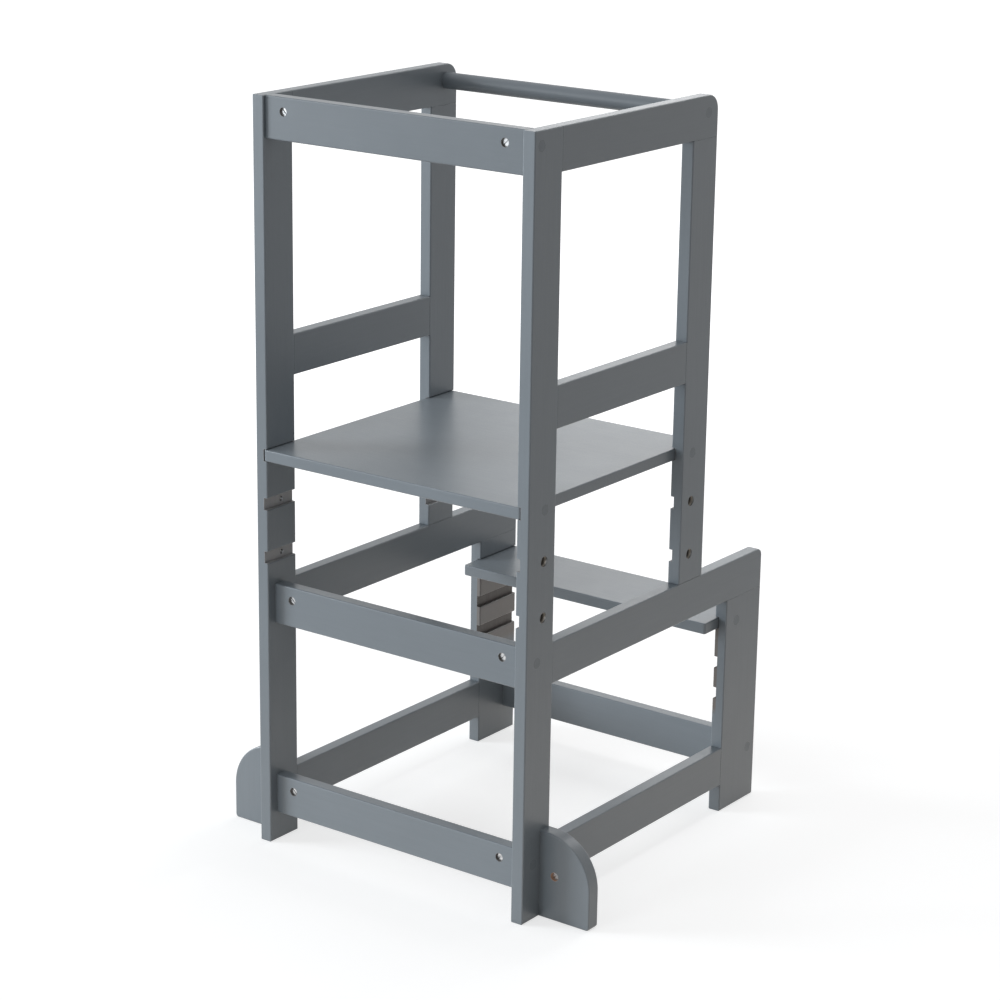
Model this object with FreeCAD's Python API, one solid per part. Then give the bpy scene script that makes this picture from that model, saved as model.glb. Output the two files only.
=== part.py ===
import FreeCAD, Part
import os

# A toddler's kitchen helper stool: two side frames of flat sticks, joined by four cross rails, a grab
# bar, and a platform board and a step board that lie in grooves at a choice of heights.
# Millimetres. +Z is up, +X runs across the stool, and +Y points to the side where the child climbs in.
# The origin is on the floor, under the middle of the footprint. The parts are laid out with y = 0 at
# the counter side and moved back by half the depth when they are written.

V = FreeCAD.Vector

# ---- overall sizes ----
HEIGHT = 900.0              # floor to the top of the side frames
WIDTH = 390.0               # over the outer faces of the side frames
DEPTH = 492.0               # counter side to the front of the step posts
UPPER_DEPTH = 355.0         # counter side to the front of the entry posts
STOCK = 16.0                # thickness of the sticks and cross rails
EDGE_R = 1.5                # rounding of the free edges
END_EASE = 0.5              # chamfer round the end of a stick that butts on another

# ---- side frame sticks ----
RAIL_H = 49.0               # height of every flat rail
COUNTER_POST_D = 50.0       # depth of the posts, counter side
ENTRY_POST_D = 50.0         # entry side, above the lower rail
STEP_POST_D = 77.0          # entry side, below the lower rail
BOTTOM_RAIL_Z = 35.0        # undersides of the side rails
LOWER_RAIL_Z = 276.0
GUARD_RAIL_Z = 570.0
TOP_CORNER_R = 18.0         # rounded front ends of the top and lower side rails
LOWER_CORNER_R = 9.0

# ---- boards and their grooves ----
BOARD_T = 14.0
BOARD_CORNER_R = 3.0        # in plan
GROOVE_DEPTH = 5.0          # into the inner faces of the posts
GROOVE_PLAY = 0.5           # groove height over board thickness
BOARD_END_GAP = 0.5         # board end to groove floor, at each side
LOW_ABOVE_RAIL = 27.0       # lowest platform groove above the lower side rail
LOW_TO_MIDDLE = 65.0        # between the platform grooves
MIDDLE_TO_HIGH = 59.0
STEP_BELOW_RAIL = 38.0      # highest step groove below the underside of the lower side rail
STEP_HIGH_TO_MIDDLE = 51.0  # between the step grooves
STEP_MIDDLE_TO_LOW = 40.0
STEP_OVERHANG = 30.0        # step board behind the step posts
PLATFORM_BOLT_IN = 30.0     # bolt from the platform's front and back edges

# ---- cross rails ----
TOP_RAIL_SETBACK = 4.0      # outer face to the counter posts' outer face
COUNTER_RAIL_SETBACK = 12.0  # the middle and bottom rails
STEP_RAIL_SETBACK = 8.0     # outer face to the step posts' front
BOLT_ABOVE_MIDDLE = 8.0     # bolt and dowel in a rail's end
DOWEL_BELOW_MIDDLE = 12.0

# ---- stabiliser plates ----
STABILIZER_T = 18.0
STABILIZER_REACH = 69.0     # beyond the post
STABILIZER_H = 105.0
STABILIZER_R = 60.0         # upper outer corner
STABILIZER_FOOT_R = 4.0     # lower outer corner
STABILIZER_BOLT_Z = 54.0
STABILIZER_DOWEL_EDGE = 17.0  # dowels from the plate's top and bottom

# ---- grab bar ----
BAR_R = 10.0
BAR_SOCKET = 4.0            # bar let into the top side rails
BAR_INSET = 20.0            # bar axis from the rail's front end and from its top
BAR_FIT = 0.1

# ---- bolts, barrel nuts, caps and dowels ----
BOLT_R = 3.0
BOLT_FIT = 0.1
HEAD_R = 5.5
HEAD_H = 4.5
HEX_FLATS = 5.0
HEX_DEPTH = 3.0
CAP_R = 6.0
CAP_H = 2.0
CAP_PIN_R = 2.2
CAP_PIN_H = 2.2
CAP_FIT = 0.05
RAIL_BOLT_L = 45.0
BOARD_BOLT_L = 40.0
NUT_R = 5.0
NUT_FIT = 0.05
NUT_L = 11.0
NUT_INSET = 26.0            # nut axis from the rail's or board's end
STABILIZER_NUT_INSET = 21.0
NUT_SLOT_W = 1.4
NUT_SLOT_D = 1.0
SCREW_R = 2.5
SCREW_L = 42.0
SCREW_TIP = 5.0
DOWEL_R = 4.0
DOWEL_FIT = 0.05
DOWEL_L = 40.0
DOWEL_END_GAP = 1.0
DOWEL_CHAMFER = 1.0
DOWEL_IN_EDGE = 14.0        # into the edge of the stick that another one butts on
DOWEL_IN_FACE = 9.0         # into the face of a post
DOWEL_IN_LOWER_RAIL = 22.0  # from the entry and step posts into the lower side rail
DOWEL_FROM_EDGE = 8.0       # dowel axis from the edges of a rail or post

# ---- places that follow ----
X_OUT = WIDTH / 2
X_IN = X_OUT - STOCK
X_MID = X_OUT - STOCK / 2
SEAT = HEAD_H + CAP_H       # bolt head seat below the wood's face
ENTRY_Y = UPPER_DEPTH - ENTRY_POST_D
STEP_Y = DEPTH - STEP_POST_D
TOP_RAIL_Z = HEIGHT - RAIL_H
LOWER_RAIL_TOP = LOWER_RAIL_Z + RAIL_H
PLATFORM_LOW_Z = LOWER_RAIL_TOP + LOW_ABOVE_RAIL
PLATFORM_MIDDLE_Z = PLATFORM_LOW_Z + LOW_TO_MIDDLE
PLATFORM_HIGH_Z = PLATFORM_MIDDLE_Z + MIDDLE_TO_HIGH    # the platform lies in the highest groove
PLATFORM_LEVELS = (PLATFORM_HIGH_Z, PLATFORM_MIDDLE_Z, PLATFORM_LOW_Z)
STEP_HIGH_Z = LOWER_RAIL_Z - STEP_BELOW_RAIL            # and the step board too
STEP_MIDDLE_Z = STEP_HIGH_Z - STEP_HIGH_TO_MIDDLE
STEP_LOW_Z = STEP_MIDDLE_Z - STEP_MIDDLE_TO_LOW
STEP_LEVELS = (STEP_HIGH_Z, STEP_MIDDLE_Z, STEP_LOW_Z)
GROOVE_H = BOARD_T + GROOVE_PLAY
BOARD_HALF = X_IN + GROOVE_DEPTH - BOARD_END_GAP
STEP_BACK = STEP_Y - STEP_OVERHANG
STEP_BOLT_Y = (STEP_BACK + DEPTH) / 2
BAR_Y = UPPER_DEPTH - BAR_INSET
BAR_Z = HEIGHT - BAR_INSET
STABILIZER_Y = COUNTER_POST_D - STABILIZER_T
STABILIZER_MID = COUNTER_POST_D - STABILIZER_T / 2
INWARD = V(-1, 0, 0)        # on the right side of the stool
OUTWARD = V(1, 0, 0)

# right-hand sticks: y from, y to, z from, z to
STICKS = {
    "counter_post": (0, COUNTER_POST_D, 0, HEIGHT),
    "entry_post": (ENTRY_Y, UPPER_DEPTH, LOWER_RAIL_TOP, TOP_RAIL_Z),
    "step_post": (STEP_Y, DEPTH, 0, LOWER_RAIL_Z),
    "top_side_rail": (COUNTER_POST_D, UPPER_DEPTH, TOP_RAIL_Z, HEIGHT),
    "guard_side_rail": (COUNTER_POST_D, ENTRY_Y, GUARD_RAIL_Z, GUARD_RAIL_Z + RAIL_H),
    "lower_side_rail": (COUNTER_POST_D, DEPTH, LOWER_RAIL_Z, LOWER_RAIL_TOP),
    "bottom_side_rail": (COUNTER_POST_D, STEP_Y, BOTTOM_RAIL_Z, BOTTOM_RAIL_Z + RAIL_H),
}

# cross rails: back face, underside, side on which the barrel nuts show (-1 counter, 1 entry)
CROSS_RAILS = {
    "top_cross_rail": (TOP_RAIL_SETBACK, TOP_RAIL_Z, -1),
    "middle_cross_rail": (COUNTER_RAIL_SETBACK, LOWER_RAIL_Z, -1),
    "bottom_cross_rail": (COUNTER_RAIL_SETBACK, BOTTOM_RAIL_Z, -1),
    "step_cross_rail": (DEPTH - STEP_RAIL_SETBACK - STOCK, BOTTOM_RAIL_Z, 1),
}


# ---- small tools ----
def box(x0, x1, y0, y1, z0, z1):
    return Part.makeBox(x1 - x0, y1 - y0, z1 - z0, V(x0, y0, z0))


def set_along(shape, point, direction):
    """A shape drawn up the Z axis from the origin, turned to a direction and moved to a point."""
    shape.Placement = FreeCAD.Placement(point, FreeCAD.Rotation(V(0, 0, 1), direction))
    return shape


def mirrored(shape):
    return shape.mirror(V(0, 0, 0), V(1, 0, 0))


def both_sides(shapes):
    return list(shapes) + [mirrored(s) for s in shapes]


def cut_all(shape, tools):
    for tool in tools:
        shape = shape.cut(tool)
    return shape


def round_edges(shape, radius, wanted):
    return shape.makeFillet(radius, [e for e in shape.Edges if wanted(e)])


def runs_along(edge, axis):
    first, last = edge.Vertexes[0].Point, edge.Vertexes[-1].Point
    others = [a for a in range(3) if a != axis]
    return all(abs(first[a] - last[a]) < 1e-6 for a in others)


# ---- fasteners, each drawn up +Z from the seat of its head ----
def bolt(length):
    head = Part.makeCylinder(HEAD_R, HEAD_H, V(0, 0, -HEAD_H))
    head = round_edges(head, 0.5, lambda e: e.BoundBox.ZMax < -HEAD_H + 1e-6)
    shank = Part.makeCylinder(BOLT_R, length)
    shank = shank.makeChamfer(0.6, [e for e in shank.Edges if e.BoundBox.ZMin > length - 1e-6])
    return head.fuse(shank).removeSplitter().cut(hex_socket())


def hex_socket():
    corner = HEX_FLATS / 3 ** 0.5
    points = [FreeCAD.Rotation(V(0, 0, 1), 60 * i).multVec(V(corner, 0, -HEAD_H)) for i in range(7)]
    return Part.Face(Part.makePolygon(points)).extrude(V(0, 0, HEX_DEPTH))


def screw():
    head = Part.makeCylinder(HEAD_R, HEAD_H, V(0, 0, -HEAD_H))
    shank = Part.makeCylinder(SCREW_R, SCREW_L - SCREW_TIP)
    tip = Part.makeCone(SCREW_R, 0.4, SCREW_TIP, V(0, 0, SCREW_L - SCREW_TIP))
    return head.fuse(shank).fuse(tip).removeSplitter().cut(hex_socket())


def cap():
    disc = Part.makeCylinder(CAP_R, CAP_H, V(0, 0, -SEAT))
    pin = Part.makeCylinder(CAP_PIN_R, CAP_PIN_H, V(0, 0, -HEAD_H))
    return disc.fuse(pin).removeSplitter()


def bolt_bore(length, radius=BOLT_R + BOLT_FIT):
    """Bore for a bolt or screw, with the counterbore for its head and cap."""
    counterbore = Part.makeCylinder(CAP_R + CAP_FIT, SEAT + 1, V(0, 0, -SEAT - 1))
    return Part.makeCylinder(radius, length + 1).fuse(counterbore)


def barrel_nut(out):
    """Nut at the origin with its threaded bore along X and its slotted end towards out."""
    nut = set_along(Part.makeCylinder(NUT_R, NUT_L, V(0, 0, -NUT_L / 2)), V(), out)
    bore = Part.makeCylinder(BOLT_R + BOLT_FIT, 4 * NUT_R, V(-2 * NUT_R, 0, 0), V(1, 0, 0))
    slot = Part.makeBox(4 * NUT_R, NUT_SLOT_W, NUT_SLOT_D + 1)
    slot.translate(V(-2 * NUT_R, -NUT_SLOT_W / 2, NUT_L / 2 - NUT_SLOT_D))
    slot.rotate(V(), V(0, 0, 1), 45)
    return nut.cut(bore).cut(set_along(Part.makeCompound([slot]), V(), out))


def nut_bore(centre, out):
    """Blind bore for a barrel nut, from its inner end out past the wood."""
    start = centre - out * (NUT_L / 2)
    return Part.makeCylinder(NUT_R + NUT_FIT, NUT_L + STOCK, start, out)


def dowel():
    pin = Part.makeCylinder(DOWEL_R, DOWEL_L)
    ends = [e for e in pin.Edges if e.BoundBox.ZLength < 1e-6]
    return pin.makeChamfer(DOWEL_CHAMFER, ends)


def dowel_bore():
    return Part.makeCylinder(DOWEL_R + DOWEL_FIT, DOWEL_L + 2 * DOWEL_END_GAP, V(0, 0, -DOWEL_END_GAP))


def moved(shape, places):
    return [set_along(shape.copy(), point, direction) for point, direction in places]


# ---- where the fasteners go on the right-hand side: point, direction ----
def frame_dowel_places():
    """Two dowels in every butt joint of a side frame."""
    places = []
    for name in ("top_side_rail", "guard_side_rail", "lower_side_rail", "bottom_side_rail"):
        y0, y1, z0, z1 = STICKS[name]
        for z in (z0 + DOWEL_FROM_EDGE, z1 - DOWEL_FROM_EDGE):
            places.append((V(X_MID, y0 - DOWEL_IN_EDGE, z), V(0, 1, 0)))
            if name in ("guard_side_rail", "bottom_side_rail"):
                places.append((V(X_MID, y1 + DOWEL_IN_EDGE, z), V(0, -1, 0)))
    for y in (ENTRY_Y + DOWEL_FROM_EDGE, UPPER_DEPTH - DOWEL_FROM_EDGE):
        places.append((V(X_MID, y, LOWER_RAIL_TOP - DOWEL_IN_LOWER_RAIL), V(0, 0, 1)))
        places.append((V(X_MID, y, TOP_RAIL_Z + DOWEL_IN_EDGE), V(0, 0, -1)))
    for y in (STEP_Y + DOWEL_FROM_EDGE, DEPTH - DOWEL_FROM_EDGE):
        places.append((V(X_MID, y, LOWER_RAIL_Z + DOWEL_IN_LOWER_RAIL), V(0, 0, -1)))
    return places


def rail_middles():
    return [(y + STOCK / 2, z + RAIL_H / 2, out) for y, z, out in CROSS_RAILS.values()]


def rail_bolt_places():
    return [(V(X_OUT - SEAT, y, z + BOLT_ABOVE_MIDDLE), INWARD) for y, z, _ in rail_middles()]


def rail_dowel_places():
    return [(V(X_IN + DOWEL_IN_FACE, y, z - DOWEL_BELOW_MIDDLE), INWARD) for y, z, _ in rail_middles()]


def rail_nut_places():
    x = X_IN - NUT_INSET
    return [(V(x, y, z + BOLT_ABOVE_MIDDLE), V(0, out, 0)) for y, z, out in rail_middles()]


def platform_bolt_places(level):
    z = level + BOARD_T / 2
    return [(V(X_OUT - SEAT, y, z), INWARD) for y in (PLATFORM_BOLT_IN, UPPER_DEPTH - PLATFORM_BOLT_IN)]


def step_bolt_places():
    return [(V(X_OUT - SEAT, STEP_BOLT_Y, STEP_HIGH_Z + BOARD_T / 2), INWARD)]


def board_nut_places(bolts):
    x = BOARD_HALF - NUT_INSET
    return [(V(x, point.y, point.z), V(0, 0, -1)) for point, _ in bolts]


def stabilizer_bolt_places():
    return [(V(X_IN + SEAT, STABILIZER_MID, STABILIZER_BOLT_Z), OUTWARD)]


def stabilizer_nut_places():
    x = X_OUT + STABILIZER_NUT_INSET
    return [(V(x, STABILIZER_MID, STABILIZER_BOLT_Z), V(0, -1, 0))]


def stabilizer_dowel_places():
    heights = (STABILIZER_DOWEL_EDGE, STABILIZER_H - STABILIZER_DOWEL_EDGE)
    return [(V(X_OUT - DOWEL_IN_FACE, STABILIZER_MID, z), OUTWARD) for z in heights]


def bar_screw_places():
    return [(V(X_OUT - SEAT, BAR_Y, BAR_Z), INWARD)]


# ---- wooden parts, right-hand side ----
def on_a_face(edge):
    """True for an edge of the side frame's inner or outer face."""
    span = edge.BoundBox
    return span.XLength < 1e-6 and min(abs(span.XMin - X_IN), abs(span.XMin - X_OUT)) < 1e-6


def side_frame():
    """The sticks of one side in one piece, with the free edges rounded and the grooves run."""
    first, *rest = [box(X_IN, X_OUT, *place) for place in STICKS.values()]
    frame = first.multiFuse(rest).removeSplitter()
    corners = ((UPPER_DEPTH, HEIGHT, TOP_CORNER_R), (DEPTH, LOWER_RAIL_TOP, LOWER_CORNER_R))
    for y, z, radius in corners:
        at = V(X_MID, y, z)
        frame = round_edges(frame, radius, lambda e: (e.CenterOfMass - at).Length < 0.1)
    post_grooves = (
        ("counter_post", PLATFORM_LEVELS),
        ("entry_post", PLATFORM_LEVELS),
        ("step_post", STEP_LEVELS),
    )
    for post, levels in post_grooves:
        y0, y1 = STICKS[post][:2]
        for z in levels:
            frame = frame.cut(box(X_IN - 1, X_IN + GROOVE_DEPTH, y0 - 1, y1 + 1, z, z + GROOVE_H))
    return round_edges(frame, EDGE_R, on_a_face)


def frame_bores():
    """Every bore in the right-hand side frame."""
    bolts = rail_bolt_places() + stabilizer_bolt_places() + step_bolt_places()
    for level in PLATFORM_LEVELS:
        bolts += platform_bolt_places(level)
    dowels = frame_dowel_places() + rail_dowel_places() + stabilizer_dowel_places()
    bar_socket = Part.makeCylinder(BAR_R + BAR_FIT, BAR_SOCKET + 1, V(X_IN - 1, BAR_Y, BAR_Z), V(1, 0, 0))
    bores = moved(bolt_bore(STOCK), bolts) + moved(dowel_bore(), dowels)
    bores += moved(bolt_bore(STOCK, SCREW_R + BOLT_FIT), bar_screw_places())
    return bores + [bar_socket]


def parted(frame, name):
    """One stick of the side frame, parted at the planes of its joints and eased at its ends."""
    y0, y1, z0, z1 = STICKS[name]
    stick = frame.common(box(X_IN - 1, X_OUT + 1, y0, y1, z0, z1))
    long_axis = 2 if z1 - z0 > y1 - y0 else 1
    ends = [e for e in stick.Edges if on_a_face(e) and runs_along(e, 3 - long_axis) and is_end(e, name)]
    return stick.makeChamfer(END_EASE, ends) if ends else stick


def is_end(edge, name):
    """True for an edge at either end of a stick."""
    y0, y1, z0, z1 = STICKS[name]
    middle = edge.CenterOfMass
    gaps = (middle.z - z0, z1 - middle.z) if z1 - z0 > y1 - y0 else (middle.y - y0, y1 - middle.y)
    return min(gaps) < 1e-6


def cross_rail(back, under, out):
    rail = box(-X_IN, X_IN, back, back + STOCK, under, under + RAIL_H)
    rail = round_edges(rail, EDGE_R, lambda e: runs_along(e, 0))
    bores = moved(bolt_bore(RAIL_BOLT_L), rail_bolt_places())
    bores += moved(dowel_bore(), rail_dowel_places())
    bores += [nut_bore(point, direction) for point, direction in rail_nut_places()]
    return cut_all(rail, both_sides(bores))


def board(back, front, level, bolts):
    slab = box(-BOARD_HALF, BOARD_HALF, back, front, level, level + BOARD_T)
    slab = round_edges(slab, BOARD_CORNER_R, lambda e: runs_along(e, 2))
    slab = round_edges(slab, EDGE_R, lambda e: e.BoundBox.ZLength < 1e-6)
    bores = moved(bolt_bore(BOARD_BOLT_L), bolts)
    bores += [nut_bore(point, direction) for point, direction in board_nut_places(bolts)]
    return cut_all(slab, both_sides(bores))


def stabilizer():
    plate = box(X_OUT, X_OUT + STABILIZER_REACH, STABILIZER_Y, COUNTER_POST_D, 0, STABILIZER_H)
    for z, radius in ((STABILIZER_H, STABILIZER_R), (0, STABILIZER_FOOT_R)):
        at = V(X_OUT + STABILIZER_REACH, STABILIZER_MID, z)
        plate = round_edges(plate, radius, lambda e: (e.CenterOfMass - at).Length < 0.1)
    free = lambda e: e.BoundBox.YLength < 1e-6 and e.BoundBox.XMax > X_OUT + 1
    plate = round_edges(plate, EDGE_R, free)
    bores = moved(bolt_bore(BOARD_BOLT_L), stabilizer_bolt_places())
    bores += moved(dowel_bore(), stabilizer_dowel_places())
    bores += [nut_bore(point, direction) for point, direction in stabilizer_nut_places()]
    return cut_all(plate, bores)


def grab_bar():
    end = X_IN + BAR_SOCKET
    bar = Part.makeCylinder(BAR_R, 2 * end, V(-end, BAR_Y, BAR_Z), V(1, 0, 0))
    bores = moved(bolt_bore(SCREW_L, SCREW_R + BOLT_FIT), bar_screw_places())
    return cut_all(bar, both_sides(bores))


# ---- the whole stool ----
def side_nodes():
    frame = cut_all(side_frame(), frame_bores())
    nodes = {}
    for name in STICKS:
        right = parted(frame, name)
        nodes[name + "_right"] = right
        nodes[name + "_left"] = mirrored(right)
    plate = stabilizer()
    nodes["stabilizer_right"] = plate
    nodes["stabilizer_left"] = mirrored(plate)
    dowels = moved(dowel(), frame_dowel_places())
    nodes["frame_dowels_right"] = Part.makeCompound(dowels)
    nodes["frame_dowels_left"] = Part.makeCompound([mirrored(d) for d in dowels])
    return nodes


def board_nodes():
    platform_bolts = platform_bolt_places(PLATFORM_HIGH_Z)
    return {
        "platform_board": board(0, UPPER_DEPTH, PLATFORM_HIGH_Z, platform_bolts),
        "step_board": board(STEP_BACK, DEPTH, STEP_HIGH_Z, step_bolt_places()),
    }


def fastener_nodes():
    platform = platform_bolt_places(PLATFORM_HIGH_Z)
    step = step_bolt_places()
    capped = rail_bolt_places() + platform + step + bar_screw_places()
    nuts = {
        "rail_barrel_nuts": rail_nut_places(),
        "platform_barrel_nuts": board_nut_places(platform),
        "step_barrel_nuts": board_nut_places(step),
        "stabilizer_barrel_nuts": stabilizer_nut_places(),
    }
    groups = {
        "rail_bolts": moved(bolt(RAIL_BOLT_L), rail_bolt_places()),
        "platform_bolts": moved(bolt(BOARD_BOLT_L), platform),
        "step_bolts": moved(bolt(BOARD_BOLT_L), step),
        "stabilizer_bolts": moved(bolt(BOARD_BOLT_L), stabilizer_bolt_places()),
        "bar_screws": moved(screw(), bar_screw_places()),
        "cover_caps": moved(cap(), capped),
        "rail_dowels": moved(dowel(), rail_dowel_places()),
        "stabilizer_dowels": moved(dowel(), stabilizer_dowel_places()),
    }
    for name, places in nuts.items():
        groups[name] = []
        for point, out in places:
            nut = barrel_nut(out)
            nut.translate(point)
            groups[name].append(nut)
    return {name: Part.makeCompound(both_sides(shapes)) for name, shapes in groups.items()}


def stool():
    nodes = side_nodes()
    for name, place in CROSS_RAILS.items():
        nodes[name] = cross_rail(*place)
    nodes["grab_bar"] = grab_bar()
    nodes.update(board_nodes())
    nodes.update(fastener_nodes())
    return nodes


os.makedirs("parts", exist_ok=True)
for node, shape in stool().items():
    shape.translate(V(0, -DEPTH / 2, 0))
    shape.exportStep("parts/" + node + ".step")
    print(node, len(shape.Solids), shape.isValid(), round(shape.Volume))
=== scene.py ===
import math

import bpy
from mathutils import Matrix, Vector


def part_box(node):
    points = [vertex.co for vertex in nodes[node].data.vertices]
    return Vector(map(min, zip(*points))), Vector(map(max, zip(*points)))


# A toddler's kitchen helper stool in slate grey satin paint, on a pale floor.
# Metres. The origin is on the floor under the middle of the footprint, +Z is up, and -Y is the side
# that stands against the kitchen counter.

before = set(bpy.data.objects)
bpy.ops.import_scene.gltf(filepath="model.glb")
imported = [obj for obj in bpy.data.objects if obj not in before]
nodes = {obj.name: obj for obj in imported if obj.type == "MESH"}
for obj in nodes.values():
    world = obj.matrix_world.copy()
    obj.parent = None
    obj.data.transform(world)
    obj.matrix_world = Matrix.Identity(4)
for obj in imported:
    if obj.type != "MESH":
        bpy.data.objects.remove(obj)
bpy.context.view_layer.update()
X, Y, Z = 0, 1, 2

# ---- colours, as linear values ----
WHITE = (1.0, 1.0, 1.0)
PAINT = (0.178, 0.203, 0.226)
# lighter paint for the edges: wear, and also a painted highlight
PAINT_WEAR_AND_HIGHLIGHT = (0.300, 0.325, 0.345)
PLATFORM_GROOVE_LIGHT = (0.350, 0.342, 0.345)         # platform grooves: painted light that lifts their shade
# step grooves: painted shade, dark brown
STEP_GROOVE_SHADE = (0.062, 0.053, 0.047)
STEP_PAINTED_SHADE = (0.150, 0.122, 0.104)         # inner faces beside the step grooves: painted shade under the step board, brown
# walls of the bolt bores: painted shade
BOLT_BORE_SHADE = (0.030, 0.026, 0.023)
ZINC = (0.690, 0.710, 0.730)
ZINC_DULL = (0.420, 0.435, 0.450)
CAP = (0.172, 0.194, 0.214)

# Bare wood, as two tones of its grain
DOWEL_WOOD = ((0.560, 0.400, 0.270), (0.360, 0.230, 0.145))
RAIL_BORE = ((0.170, 0.160, 0.152), (0.100, 0.088, 0.080))          # nut bores of the cross rails
STABILIZER_BORE = ((0.560, 0.340, 0.230), (0.380, 0.205, 0.130))    # nut bores of the stabilizers
RIGHT_HOLE_LIGHT = ((0.760, 0.710, 0.635), (0.560, 0.510, 0.450))         # open holes of the right posts: bare wood made pale as painted light
LEFT_HOLE_SHADE = ((0.045, 0.040, 0.036), (0.028, 0.024, 0.021))          # and of the left ones: dark as painted shade

# ---- sizes of bores and grooves, as in the CAD ----
GROOVE_DEPTH = 0.005
GROOVE_HEIGHT = 0.0145
PLATFORM_DROPS = (0.0, 0.059, 0.124)    # from the highest platform groove to each
STEP_DROPS = (0.0, 0.051, 0.091)
HEAD_SEAT = 0.0065                      # a bolt head's seat below the wood's face
COUNTERBORE_R = 0.0062
BOLT_BORE_R = 0.0034
NUT_BORE_R = 0.0052
CAP_DISC_R = 0.0056                     # a cap's flat, inside its rim
BOARD_BOLT_IN = 0.030                   # from the platform's back and front edges
BOLT_ABOVE_MIDDLE = 0.008               # of a cross rail
RAIL_NUT_IN = 0.026                     # from a cross rail's end
STABILIZER_NUT_OUT = 0.021              # from the post beside it
STABILIZER_NUT_Z = 0.054
HAIR = 0.0001                           # keeps a face from falling on a limit


# ---- places that follow from the CAD pieces ----
def middle(name, axis):
    """Half way between the two ends of a piece."""
    low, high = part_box(name)
    return (low[axis] + high[axis]) / 2


def bolt_height(rail):
    return middle(rail, Z) + BOLT_ABOVE_MIDDLE


# Depths in a side frame are distances from the stool's middle
post_low, post_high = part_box("counter_post_right")
INNER_FACE = post_low[X]
OUTER_FACE = post_high[X]
GROOVE_FLOOR = INNER_FACE + GROOVE_DEPTH
COUNTERBORE_FLOOR = OUTER_FACE - HEAD_SEAT
BORE_PAINT_END = GROOVE_FLOOR + 0.0008                          # paint runs a little into a bolt's bore
HOLE_MOUTH = (OUTER_FACE - 0.0010, OUTER_FACE - 0.0022)         # paint gives way to bare wood
HOLE_SHADE = (OUTER_FACE - 0.0032, OUTER_FACE - 0.0052)         # and bare wood to shade

platform_low, platform_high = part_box("platform_board")
step_low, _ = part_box("step_board")
PLATFORM_GROOVES = [platform_low[Z] - drop for drop in PLATFORM_DROPS]
STEP_GROOVES = [step_low[Z] - drop for drop in STEP_DROPS]
STEP_SHADE_HEIGHTS = (0.135, 0.240)          # about from the lowest step groove to the highest
SHADE_FADE = 0.010

# Centres in the YZ plane. The platform's own holes, at its highest groove, are capped.
COUNTER_BOLT_Y = platform_low[Y] + BOARD_BOLT_IN
ENTRY_BOLT_Y = platform_high[Y] - BOARD_BOLT_IN
PLATFORM_BOLTS_Z = [middle("platform_board", Z) - drop for drop in PLATFORM_DROPS]
COUNTER_HOLES = [(COUNTER_BOLT_Y, z) for z in PLATFORM_BOLTS_Z[1:]]
ENTRY_HOLES = [(ENTRY_BOLT_Y, z) for z in PLATFORM_BOLTS_Z[1:]]
CROSS_RAILS = ("top_cross_rail", "middle_cross_rail", "bottom_cross_rail", "step_cross_rail")
CAPS = [(y, PLATFORM_BOLTS_Z[0]) for y in (COUNTER_BOLT_Y, ENTRY_BOLT_Y)]
CAPS += [(middle(rail, Y), bolt_height(rail)) for rail in CROSS_RAILS]
CAPS += [(middle(name, Y), middle(name, Z)) for name in ("grab_bar", "step_board")]


# ---- shader nodes ----
def times(colour, factor):
    return [channel * factor for channel in colour]


class Nodes:
    """A short way to write the nodes of a tree."""

    def __init__(self, tree):
        self.tree = tree

    def add(self, kind, **settings):
        node = self.tree.nodes.new(kind)
        for key, value in settings.items():
            setattr(node, key, value)
        return node

    def put(self, value, socket):
        if isinstance(value, bpy.types.NodeSocket):
            self.tree.links.new(value, socket)
        else:
            socket.default_value = value

    def math(self, operation, *values, clamp=False):
        node = self.add("ShaderNodeMath", operation=operation, use_clamp=clamp)
        for value, socket in zip(values, node.inputs):
            self.put(value, socket)
        return node.outputs[0]

    def product(self, first, *others):
        for other in others:
            first = self.math("MULTIPLY", first, other)
        return first

    def vector(self, operation, *values, out="Vector"):
        node = self.add("ShaderNodeVectorMath", operation=operation)
        for value, socket in zip(values, node.inputs):
            self.put(value, socket)
        return node.outputs[out]

    def span(self, value, low, high, to_low=0.0, to_high=1.0, smooth=False):
        node = self.add("ShaderNodeMapRange")
        if smooth:
            node.interpolation_type = "SMOOTHSTEP"
        self.put(value, node.inputs["Value"])
        for socket, number in zip(node.inputs[1:5], (low, high, to_low, to_high)):
            socket.default_value = number
        return node.outputs["Result"]

    def mix(self, factor, a, b):
        node = self.add("ShaderNodeMix", data_type="RGBA")
        self.put(factor, node.inputs["Factor"])
        for value, socket in ((a, node.inputs[6]), (b, node.inputs[7])):
            self.put(value if isinstance(value, bpy.types.NodeSocket) else (*value, 1.0), socket)
        return node.outputs[2]

    def seen(self):
        """1 for rays from the camera and for reflections, 0 for bounced light."""
        rays = self.add("ShaderNodeLightPath").outputs
        found = rays["Is Camera Ray"]
        for name in ("Is Glossy Ray", "Is Transmission Ray"):
            found = self.math("MAXIMUM", found, rays[name])
        return found


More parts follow.
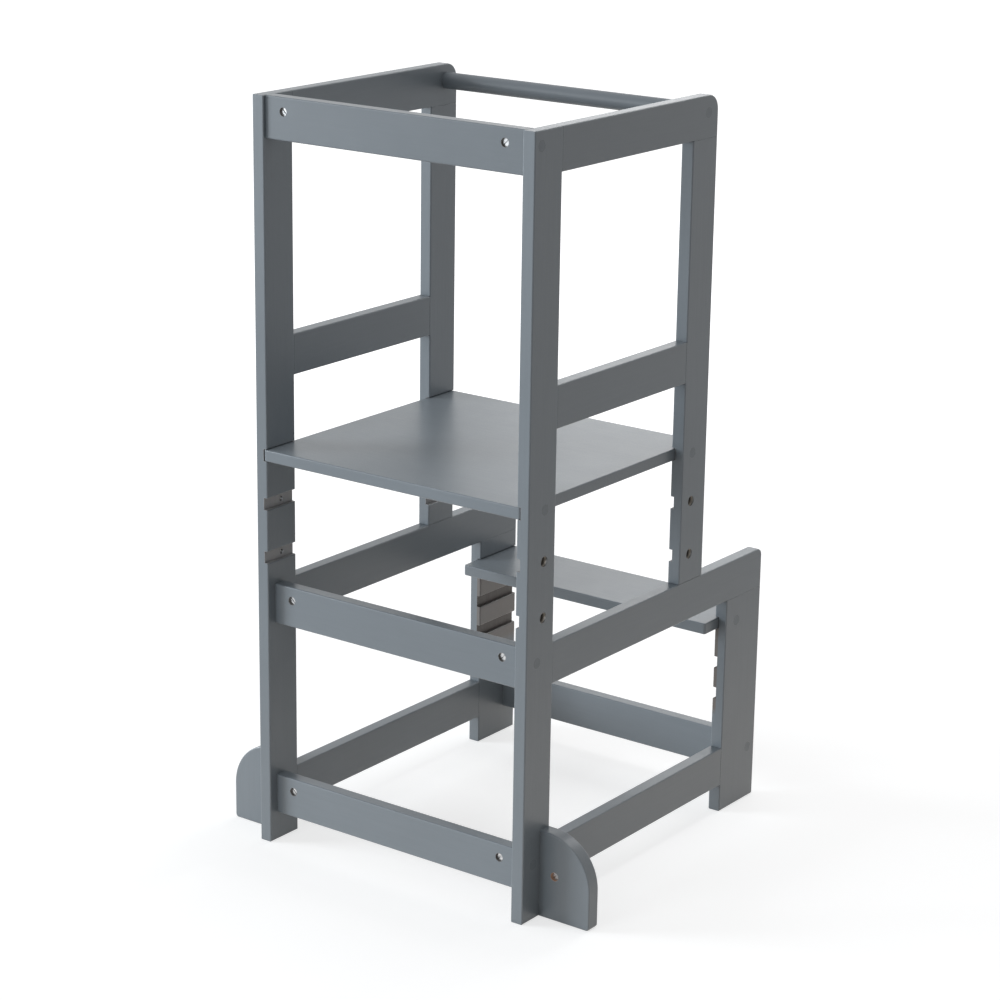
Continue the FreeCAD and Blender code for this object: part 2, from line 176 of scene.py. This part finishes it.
class Surface(Nodes):
    """The nodes of a material, whose coordinates are metres in the stool's frame."""

    def __init__(self, name):
        self.material = bpy.data.materials.new(name)
        self.material.use_nodes = True
        super().__init__(self.material.node_tree)
        self.shader = self.tree.nodes["Principled BSDF"]
        self.place = self.add("ShaderNodeTexCoord").outputs["Object"]

    def coordinate(self, axis):
        node = self.add("ShaderNodeSeparateXYZ")
        self.put(self.place, node.inputs[0])
        return node.outputs[axis]

    def along(self, axis, seed, lengthways=0.05):
        """Coordinates drawn out along a stick, and moved so that no two sticks are alike."""
        scale = [1.0, 1.0, 1.0]
        scale[axis] = lengthways
        moved = self.vector("ADD", self.place, (0.37 * seed, 0.53 * seed, 0.71 * seed))
        return self.vector("MULTIPLY", moved, tuple(scale))

    def noise(self, vector, scale, detail, roughness, distortion=0.0):
        node = self.add("ShaderNodeTexNoise")
        self.put(vector, node.inputs["Vector"])
        node.inputs["Scale"].default_value = scale
        node.inputs["Detail"].default_value = detail
        node.inputs["Roughness"].default_value = roughness
        node.inputs["Distortion"].default_value = distortion
        return node.outputs["Fac"]

    def edges(self, radius):
        """0 on the flats, rising to about 1 round the edges."""
        bevel = self.add("ShaderNodeBevel", samples=4)
        bevel.inputs["Radius"].default_value = radius
        flat = self.add("ShaderNodeNewGeometry").outputs["Normal"]
        turned = self.vector("DOT_PRODUCT", bevel.outputs["Normal"], flat, out="Value")
        return self.span(turned, 0.995, 0.80)

    def crevices(self, distance):
        """0 in the open, 1 deep in a corner."""
        node = self.add("ShaderNodeAmbientOcclusion", samples=4)
        node.inputs["Distance"].default_value = distance
        return self.span(node.outputs["AO"], 0.92, 0.35)

    def near(self, centres, radius, axis):
        """1 within a radius of any of the lines through the centres along an axis."""
        keep = [1.0, 1.0, 1.0]
        keep[axis] = 0.0
        flat = self.vector("MULTIPLY", self.place, tuple(keep))
        found = 0.0
        for centre in centres:
            at = list(centre)
            at.insert(axis, 0.0)
            gap = self.vector("DISTANCE", flat, tuple(at), out="Value")
            found = self.math("MAXIMUM", found, self.math("LESS_THAN", gap, radius))
        return found

    def bump(self, height, distance, strength, normal=None):
        node = self.add("ShaderNodeBump")
        self.put(height, node.inputs["Height"])
        node.inputs["Distance"].default_value = distance
        node.inputs["Strength"].default_value = strength
        if normal is not None:
            self.put(normal, node.inputs["Normal"])
        return node.outputs["Normal"]

    def finish(self, colour, roughness, normal):
        self.put(colour, self.shader.inputs["Base Color"])
        self.put(roughness, self.shader.inputs["Roughness"])
        self.put(normal, self.shader.inputs["Normal"])
        return self.material


# ---- painted wood ----
def in_grooves(m, depth, height, grooves):
    """1 on the floors and sides of a post's grooves."""
    level = 0.0
    for z in grooves:
        half = GROOVE_HEIGHT / 2
        level = m.math("MAXIMUM", level, m.math("COMPARE", height, z + half, half + 2 * HAIR))
    return m.product(m.math("GREATER_THAN", depth, INNER_FACE + 2 * HAIR),
                     m.math("LESS_THAN", depth, GROOVE_FLOOR + 3 * HAIR),
                     level)


def shade_beside_grooves(m, depth, height, clouds, low, high):
    """How much painted shade a post's inner face takes, between two heights."""
    return m.product(m.span(height, low - SHADE_FADE, low),
                     m.span(height, high, high + SHADE_FADE, 1.0, 0.0),
                     m.math("LESS_THAN", depth, GROOVE_FLOOR + 3 * HAIR),
                     m.span(clouds, 0.30, 0.60, 0.55, 0.80))


def in_holes(m, holes, depth, mouth):
    """How bare the wood is in the counterbores of a post's open holes. At the mouth it is as given."""
    return m.product(m.near(holes, COUNTERBORE_R, X),
                     m.span(depth, *HOLE_MOUTH, mouth, 1.0),
                     m.math("GREATER_THAN", depth, COUNTERBORE_FLOOR - HAIR))


def in_bolt_bores(m, holes, depth):
    """1 on the walls between a counterbore and a groove."""
    return m.product(m.near(holes, BOLT_BORE_R, X),
                     m.math("LESS_THAN", depth, COUNTERBORE_FLOOR - HAIR),
                     m.math("GREATER_THAN", depth, BORE_PAINT_END))


def grained(m, axis, seed, tones):
    """The colour of bare wood, and its grain."""
    grain = m.noise(m.along(axis, seed, lengthways=0.08), 420.0, 5.0, 0.6, 0.4)
    return m.mix(m.span(grain, 0.35, 0.68), *tones), grain


def painted_wood(name, axis, seed, shade=1.0, matt=0.0, nut_bores=(), holes=(), bore_tones=RAIL_BORE,
                 mouth=1.0, grooves=(), groove_tone=PLATFORM_GROOVE_LIGHT, rubbed=None):
    """Satin paint on solid wood: faint grain under it, a fine spray texture, edges lighter from wear
    and as a painted highlight, painted shade in corners, and painted light and shade in grooves and
    holes.

    Nut bores run along Y. Holes run along X, and only posts with grooves have them.
    """
    m = Surface("painted_wood_" + name)
    grain = m.noise(m.along(axis, seed), 210.0, 6.0, 0.62, 0.35)
    pores = m.noise(m.along(axis, seed + 3, lengthways=0.03), 900.0, 3.0, 0.6)
    clouds = m.noise(m.along(axis, seed, lengthways=0.6), 9.0, 3.0, 0.55)
    peel = m.noise(m.place, 620.0, 2.0, 0.5)
    handled = m.noise(m.place, 38.0, 4.0, 0.6)
    edge = m.edges(0.0022)
    corner = m.crevices(0.007)

    tone = shade * (1.0 + 0.022 * math.sin(2.4 * seed))
    colour = m.mix(m.span(clouds, 0.30, 0.70), times(PAINT, tone * 0.965), times(PAINT, tone * 1.035))
    colour = m.mix(m.span(grain, 0.40, 0.70, 0.0, 0.16), colour, times(PAINT, 0.80))
    colour = m.mix(m.span(pores, 0.45, 0.80, 0.0, 0.09), colour, times(PAINT, 0.72))
    worn_and_highlight = m.product(edge, m.span(handled, 0.42, 0.66, 0.10, 0.42))
    if grooves:
        depth = m.math("ABSOLUTE", m.coordinate(X))
        height = m.coordinate(Z)
        inside = in_grooves(m, depth, height, grooves)
        worn_and_highlight = m.product(worn_and_highlight, m.math("SUBTRACT", 1.0, inside))
    # edges lighter from wear, and as a painted highlight
    colour = m.mix(worn_and_highlight, colour, PAINT_WEAR_AND_HIGHLIGHT)
    # painted shade in corners and crevices
    colour = m.mix(m.product(corner, 0.30), colour, times(PAINT, 0.42))

    roughness = m.span(peel, 0.25, 0.75, 0.30 + matt, 0.36 + matt)
    roughness = m.math("ADD", roughness, m.span(handled, 0.30, 0.72, -0.012, 0.020))
    roughness = m.math("SUBTRACT", roughness, m.product(edge, 0.05))

    # painted shade, brown, on the step posts' inner faces beside the step grooves
    if rubbed:
        colour = m.mix(shade_beside_grooves(m, depth, height, clouds, *rubbed), colour, STEP_PAINTED_SHADE)
    # painted light in the platform grooves, painted shade in the step grooves
    if grooves:
        groove_light_and_shade_mix = m.product(inside, m.span(grain, 0.30, 0.70, 0.65, 0.95))
        colour = m.mix(groove_light_and_shade_mix, colour, groove_tone)
        roughness = m.math("ADD", roughness, m.product(inside, 0.18))
    if nut_bores or holes:
        wood, _ = grained(m, axis, seed, bore_tones)
        # the holes' wood tones are painted light on the right posts and painted shade on the left
        if holes:
            bare = in_holes(m, holes, depth, mouth)
            wood = m.mix(m.span(depth, *HOLE_SHADE), wood, times(bore_tones[0], 0.2))
            # painted shade on the walls of the bolt bores
            colour = m.mix(in_bolt_bores(m, holes, depth), colour, BOLT_BORE_SHADE)
        else:
            bare = m.near(nut_bores, NUT_BORE_R, Y)
        colour = m.mix(bare, colour, wood)
        roughness = m.math("ADD", roughness, m.product(bare, 0.30))

    normal = m.bump(grain, 0.00045, 0.22)
    normal = m.bump(peel, 0.00016, 0.30, normal)
    return m.finish(colour, m.math("ADD", roughness, 0.0, clamp=True), normal)


# ---- bare wood, metal and plastic ----
def bare_wood():
    """Unfinished hardwood, for the dowels."""
    m = Surface("bare_wood_dowels")
    colour, grain = grained(m, X, 2, DOWEL_WOOD)
    fleck = m.noise(m.along(X, 5, lengthways=0.25), 1500.0, 2.0, 0.5)
    colour = m.mix(m.span(fleck, 0.60, 0.72, 0.0, 0.5), colour, times(DOWEL_WOOD[1], 0.6))
    roughness = m.span(grain, 0.30, 0.70, 0.58, 0.74)
    return m.finish(colour, roughness, m.bump(grain, 0.0004, 0.45))


def zinc_steel(name, seed):
    """Bright zinc plate with faint turning marks, dull patches, and painted shade in its crevices."""
    m = Surface("zinc_steel_" + name)
    m.shader.inputs["Metallic"].default_value = 1.0
    patches = m.noise(m.vector("ADD", m.place, (0.2 * seed, 0.0, 0.1)), 420.0, 4.0, 0.6)
    marks = m.noise(m.along(Y, seed, lengthways=0.06), 5200.0, 2.0, 0.5)
    corner = m.crevices(0.0025)
    colour = m.mix(m.span(patches, 0.38, 0.66), ZINC, ZINC_DULL)
    # painted shade in the crevices
    colour = m.mix(m.product(corner, 0.45), colour, times(ZINC_DULL, 0.35))
    roughness = m.span(patches, 0.30, 0.70, 0.20, 0.36)
    roughness = m.math("ADD", roughness, m.span(marks, 0.35, 0.65, -0.04, 0.06))
    return m.finish(colour, roughness, m.bump(marks, 0.00004, 0.35))


def cap_plastic():
    """Matt caps that match the paint, each with a dark line round its rim."""
    m = Surface("cap_plastic")
    fine = m.noise(m.place, 1800.0, 2.0, 0.5)
    cloud = m.noise(m.place, 60.0, 3.0, 0.5)
    colour = m.mix(m.span(cloud, 0.35, 0.65), times(CAP, 0.95), times(CAP, 1.04))
    rim = m.math("SUBTRACT", 1.0, m.near(CAPS, CAP_DISC_R, X))
    colour = m.mix(m.product(rim, 0.40), colour, times(CAP, 0.45))
    roughness = m.span(fine, 0.30, 0.70, 0.46, 0.58)
    return m.finish(colour, roughness, m.bump(fine, 0.00008, 0.30))


# ---- finishes of the CAD pieces ----
def dress(name, material):
    piece = nodes[name]
    piece.data.materials.clear()
    piece.data.materials.append(material)


def paint(name, axis, seed, **details):
    """Paint a piece whose grain runs along an axis."""
    dress(name, painted_wood(name, axis, seed, **details))


def paint_side(side, sign, seed, hole_light_and_shade, mouth):
    """Paint a side frame and its stabilizer. The mouth is how bare the wood is at a hole's mouth. The
    holes' wood takes painted light on the right and painted shade on the left.
    """
    post = {"grooves": PLATFORM_GROOVES, "bore_tones": hole_light_and_shade, "mouth": mouth}
    paint("counter_post_" + side, Z, seed, holes=COUNTER_HOLES, **post)
    paint("entry_post_" + side, Z, seed + 2, holes=ENTRY_HOLES, **post)
    paint("step_post_" + side, Z, seed + 4, grooves=STEP_GROOVES, groove_tone=STEP_GROOVE_SHADE,
          rubbed=STEP_SHADE_HEIGHTS)
    for number, rail in enumerate(("top", "guard", "lower", "bottom")):
        paint(f"{rail}_side_rail_{side}", Y, seed + 6 + 2 * number)
    nut = (sign * (OUTER_FACE + STABILIZER_NUT_OUT), STABILIZER_NUT_Z)
    paint("stabilizer_" + side, Z, seed + 14, nut_bores=[nut], bore_tones=STABILIZER_BORE)


paint_side("right", sign=1, seed=1, hole_light_and_shade=RIGHT_HOLE_LIGHT, mouth=0.15)
# the left holes are bare up to the face, so their painted shade reaches the mouth
paint_side("left", sign=-1, seed=2, hole_light_and_shade=LEFT_HOLE_SHADE, mouth=1.0)
rail_nut_x = INNER_FACE - RAIL_NUT_IN
for number, rail in enumerate(CROSS_RAILS):
    nuts = [(x, bolt_height(rail)) for x in (-rail_nut_x, rail_nut_x)]
    # the top cross rail's paint is darker: painted shade
    paint(rail, X, 17 + number, nut_bores=nuts, shade=0.88 if rail == "top_cross_rail" else 1.0)
paint("platform_board", X, 22)
paint("step_board", X, 23)
# the grab bar's paint is darker: painted shade
paint("grab_bar", X, 24, shade=0.82, matt=0.14)

dowel_wood = bare_wood()
for name in ("frame_dowels_right", "frame_dowels_left", "rail_dowels", "stabilizer_dowels"):
    dress(name, dowel_wood)
bolt_steel = zinc_steel("bolts", 1)
nut_steel = zinc_steel("nuts", 2)
for name in ("rail_bolts", "platform_bolts", "step_bolts", "stabilizer_bolts", "bar_screws"):
    dress(name, bolt_steel)
for name in ("rail_barrel_nuts", "platform_barrel_nuts", "step_barrel_nuts", "stabilizer_barrel_nuts"):
    dress(name, nut_steel)
dress("cover_caps", cap_plastic())

# ---- floor, background, light and camera ----
# Distances on the floor are from the stool's middle
FLOOR_HALF = 30.0
FLOOR_BELOW = 0.0005                    # keeps the floor clear of the feet
FLOOR_GLOW = (0.4, 3.0, 0.66, 0.93)     # two distances, and how strongly the floor glows at each
FLOOR_BOUNCE = (0.35, 1.60)             # two distances, where bounced light takes the two tones
BOUNCE_NEAR = (0.820, 0.750, 0.680)     # a pale warm floor lights the lower parts of the stool
BOUNCE_FAR = (0.220, 0.220, 0.220)
FLOOR_SEEN = (0.50, 0.50, 0.50)         # the tone that the camera sees, with the stool's shadow
FILL_LIGHT = 0.297
COOL = (0.90, 0.957, 1.0)


def make_floor():
    mesh = bpy.data.meshes.new("floor")
    corners = [(-FLOOR_HALF, -FLOOR_HALF, 0), (FLOOR_HALF, -FLOOR_HALF, 0),
               (FLOOR_HALF, FLOOR_HALF, 0), (-FLOOR_HALF, FLOOR_HALF, 0)]
    mesh.from_pydata(corners, [], [(0, 1, 2, 3)])
    floor = bpy.data.objects.new("floor", mesh)
    bpy.context.scene.collection.objects.link(floor)
    floor.location.z = -FLOOR_BELOW
    m = Surface("floor_white")
    m.shader.inputs["Roughness"].default_value = 0.90
    m.shader.inputs["Specular IOR Level"].default_value = 0.0
    m.shader.inputs["Emission Color"].default_value = (*WHITE, 1.0)
    away = m.vector("LENGTH", m.place, out="Value")
    bounce = m.mix(m.span(away, *FLOOR_BOUNCE, smooth=True), BOUNCE_NEAR, BOUNCE_FAR)
    camera_ray = m.add("ShaderNodeLightPath").outputs["Is Camera Ray"]
    m.put(m.mix(camera_ray, bounce, FLOOR_SEEN), m.shader.inputs["Base Color"])
    glow = m.span(away, *FLOOR_GLOW, smooth=True)
    m.put(m.product(m.seen(), glow), m.shader.inputs["Emission Strength"])
    mesh.materials.append(m.material)


def make_world():
    """A white background where it is seen, and a weak even fill light elsewhere."""
    world = bpy.data.worlds.new("studio")
    bpy.context.scene.world = world
    world.use_nodes = True
    w = Nodes(world.node_tree)
    w.tree.nodes.clear()
    out = w.add("ShaderNodeOutputWorld")
    mix = w.add("ShaderNodeMixShader")
    w.put(w.seen(), mix.inputs[0])
    for strength, socket in ((FILL_LIGHT, mix.inputs[1]), (1.0, mix.inputs[2])):
        light = w.add("ShaderNodeBackground")
        light.inputs["Color"].default_value = (*WHITE, 1.0)
        light.inputs["Strength"].default_value = strength
        w.put(light.outputs[0], socket)
    w.put(mix.outputs[0], out.inputs[0])


def soft_box(name, place, target, size, power, colour=WHITE):
    light = bpy.data.lights.new(name, "AREA")
    light.shape = "SQUARE"
    light.size = size
    light.energy = power
    light.color = colour
    lamp = bpy.data.objects.new(name, light)
    lamp.location = place
    lamp.rotation_euler = (Vector(target) - Vector(place)).to_track_quat("-Z", "Y").to_euler()
    bpy.context.scene.collection.objects.link(lamp)


def make_camera():
    """The view of the photo, as solved from its edges and corners."""
    data = bpy.data.cameras.new("camera")
    data.sensor_width = 36.0
    data.lens = 101.04
    data.clip_start = 0.05
    data.clip_end = 100.0
    camera = bpy.data.objects.new("camera", data)
    place = (1.88448862, -2.59413955, 1.37539131)
    right = Vector((0.80285489, 0.59602302, 0.01343802))
    down = Vector((0.18281559, -0.22467664, -0.95713054))
    forward = Vector((-0.56745263, 0.77089361, -0.28934504))
    turn = Matrix((right, -down, -forward)).transposed()
    camera.matrix_world = Matrix.Translation(place) @ turn.to_4x4()
    bpy.context.scene.collection.objects.link(camera)
    bpy.context.scene.camera = camera


make_floor()
make_world()
soft_box("key", (-6.9, -4.3, 1.9), (0.0, 0.0, 0.30), 3.2, 620.0, COOL)
soft_box("front", (-0.7, -5.0, 1.4), (0.0, 0.0, 0.30), 1.8, 56.0, COOL)
soft_box("top", (0.1, 0.7, 3.8), (0.0, 0.0, 0.45), 1.6, 24.0)
soft_box("high", (0.25, 3.0, 2.6), (0.2, -0.2, 0.10), 0.8, 11.0)
soft_box("back", (-1.55, 3.15, 1.75), (0.0, 0.0, 0.45), 1.2, 6.5)
soft_box("rear", (0.1, 5.0, 1.3), (0.0, 0.0, 0.45), 2.2, 60.0)
make_camera()
bpy.context.scene.view_settings.view_transform = "Standard"
